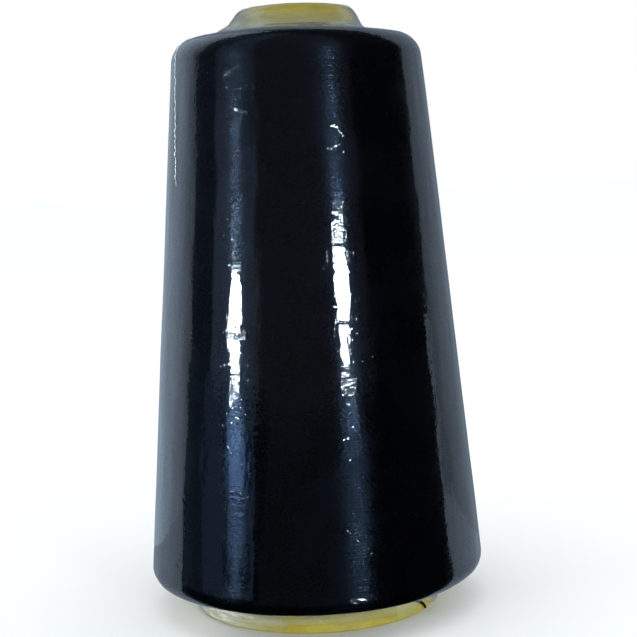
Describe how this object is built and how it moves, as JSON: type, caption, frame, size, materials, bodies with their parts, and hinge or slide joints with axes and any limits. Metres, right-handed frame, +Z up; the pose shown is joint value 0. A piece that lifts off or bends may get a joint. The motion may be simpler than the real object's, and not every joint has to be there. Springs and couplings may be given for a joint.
{
  "type": "cone of sewing thread",
  "caption": "Tapered cone of dark sewing thread, cross-wound on a hollow plastic cone core with a rounded open nose, and wrapped in a clear shrunk film sleeve.",
  "frame": {"origin": "centre of the core's foot, in the plane it stands on", "axes": "+Z up the cone's axis, from the wide foot to the narrow nose; the thread's tail lies on the +X side of the foot, towards -Y; the film's seam runs down the -X side, towards -Y"},
  "size_m": [0.096, 0.096, 0.17],
  "materials": {
    "core_plastic": "translucent yellow moulded plastic",
    "thread": "very dark navy polyester thread, tightly wound",
    "thread_outer": "very dark navy polyester thread",
    "film": "clear glossy shrink film"
  },
  "bodies": {
    "root": {"cone_core": "core_plastic", "thread_package": "thread", "outer_winding": "thread_outer", "thread_tail": "thread_outer", "film_wrap": "film"}
  },
  "joints": []
}
